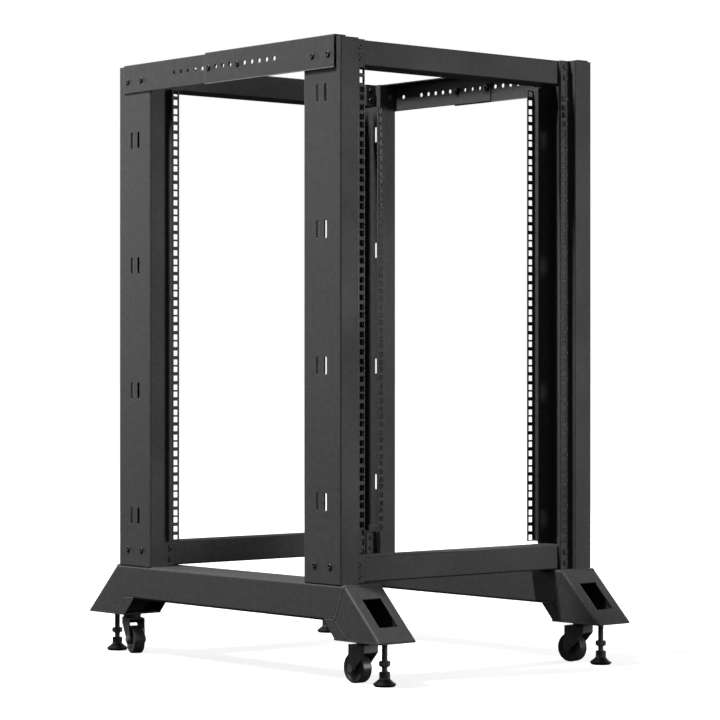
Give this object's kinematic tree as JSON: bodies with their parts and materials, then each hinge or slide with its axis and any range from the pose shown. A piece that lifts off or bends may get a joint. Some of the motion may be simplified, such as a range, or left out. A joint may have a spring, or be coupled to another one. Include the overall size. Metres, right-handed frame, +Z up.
{
  "type": "four post open frame rack",
  "caption": "Four post open frame rack for 19-inch equipment on two base rails with sloping feet, swivel casters and levelling pads.",
  "frame": {"origin": "on the floor under the middle of the rack", "axes": "+X to the rack's right seen from the front, +Y from the front to the rear, +Z up"},
  "size_m": [0.5852, 0.804, 1.054],
  "materials": {
    "frame_powder_coat": "black fine-texture powder coat",
    "black_plated_steel": "black zinc plating",
    "wheel_plastic": "solid black wheel"
  },
  "bodies": {
    "frame": {"post_front_left": "frame_powder_coat", "leg_front_left": "frame_powder_coat", "foot_plate_front_left": "frame_powder_coat", "caster_head_front_left": "black_plated_steel", "post_front_right": "frame_powder_coat", "leg_front_right": "frame_powder_coat", "foot_plate_front_right": "frame_powder_coat", "caster_head_front_right": "black_plated_steel", "post_rear_left": "frame_powder_coat", "leg_rear_left": "frame_powder_coat", "foot_plate_rear_left": "frame_powder_coat", "caster_head_rear_left": "black_plated_steel", "post_rear_right": "frame_powder_coat", "leg_rear_right": "frame_powder_coat", "foot_plate_rear_right": "frame_powder_coat", "caster_head_rear_right": "black_plated_steel", "crossbar_bottom_front": "frame_powder_coat", "crossbar_top_front": "frame_powder_coat", "crossbar_bottom_rear": "frame_powder_coat", "crossbar_top_rear": "frame_powder_coat", "base_rail_left": "frame_powder_coat", "top_rail_front_left": "frame_powder_coat", "top_rail_rear_left": "frame_powder_coat", "base_rail_right": "frame_powder_coat", "top_rail_front_right": "frame_powder_coat", "top_rail_rear_right": "frame_powder_coat"},
    "caster_fork_front_left": {"caster_fork_front_left": "black_plated_steel"},
    "caster_wheel_front_left": {"caster_wheel_front_left": "wheel_plastic"},
    "leveller_front_left": {"leveller_stud_front_left": "black_plated_steel", "leveller_pad_front_left": "black_plated_steel"},
    "caster_fork_front_right": {"caster_fork_front_right": "black_plated_steel"},
    "caster_wheel_front_right": {"caster_wheel_front_right": "wheel_plastic"},
    "leveller_front_right": {"leveller_stud_front_right": "black_plated_steel", "leveller_pad_front_right": "black_plated_steel"},
    "caster_fork_rear_left": {"caster_fork_rear_left": "black_plated_steel"},
    "caster_wheel_rear_left": {"caster_wheel_rear_left": "wheel_plastic"},
    "leveller_rear_left": {"leveller_stud_rear_left": "black_plated_steel", "leveller_pad_rear_left": "black_plated_steel"},
    "caster_fork_rear_right": {"caster_fork_rear_right": "black_plated_steel"},
    "caster_wheel_rear_right": {"caster_wheel_rear_right": "wheel_plastic"},
    "leveller_rear_right": {"leveller_stud_rear_right": "black_plated_steel", "leveller_pad_rear_right": "black_plated_steel"}
  },
  "joints": [
    {"name": "caster_swivel_front_left", "type": "hinge", "parent": "frame", "child": "caster_fork_front_left", "pos_m": [-0.2486, -0.323, 0.0635], "axis": [0, 0, 1], "range_deg": [-105, 105]},
    {"name": "caster_roll_front_left", "type": "hinge", "parent": "caster_fork_front_left", "child": "caster_wheel_front_left", "pos_m": [-0.2486, -0.3025, 0.025], "axis": [1, 0, 0], "continuous": true},
    {"name": "leveller_screw_front_left", "type": "slide", "parent": "frame", "child": "leveller_front_left", "axis": [0, 0, 1], "range_m": [-0.012, 0.018]},
    {"name": "caster_swivel_front_right", "type": "hinge", "parent": "frame", "child": "caster_fork_front_right", "pos_m": [0.2486, -0.323, 0.0635], "axis": [0, 0, 1], "range_deg": [-113, 97]},
    {"name": "caster_roll_front_right", "type": "hinge", "parent": "caster_fork_front_right", "child": "caster_wheel_front_right", "pos_m": [0.24575, -0.3027, 0.025], "axis": [0.9903, 0.1392, 0], "continuous": true},
    {"name": "leveller_screw_front_right", "type": "slide", "parent": "frame", "child": "leveller_front_right", "axis": [0, 0, 1], "range_m": [-0.012, 0.018]},
    {"name": "caster_swivel_rear_left", "type": "hinge", "parent": "frame", "child": "caster_fork_rear_left", "pos_m": [-0.2486, 0.323, 0.0635], "axis": [0, 0, 1], "range_deg": [-87, 123]},
    {"name": "caster_roll_rear_left", "type": "hinge", "parent": "caster_fork_rear_left", "child": "caster_wheel_rear_left", "pos_m": [-0.25494, 0.3035, 0.025], "axis": [-0.9511, 0.309, 0], "continuous": true},
    {"name": "leveller_screw_rear_left", "type": "slide", "parent": "frame", "child": "leveller_rear_left", "axis": [0, 0, 1], "range_m": [-0.012, 0.018]},
    {"name": "caster_swivel_rear_right", "type": "hinge", "parent": "frame", "child": "caster_fork_rear_right", "pos_m": [0.2486, 0.323, 0.0635], "axis": [0, 0, 1], "range_deg": [-105, 105]},
    {"name": "caster_roll_rear_right", "type": "hinge", "parent": "caster_fork_rear_right", "child": "caster_wheel_rear_right", "pos_m": [0.2486, 0.3025, 0.025], "axis": [-1, 0, 0], "continuous": true},
    {"name": "leveller_screw_rear_right", "type": "slide", "parent": "frame", "child": "leveller_rear_right", "axis": [0, 0, 1], "range_m": [-0.012, 0.018]}
  ]
}
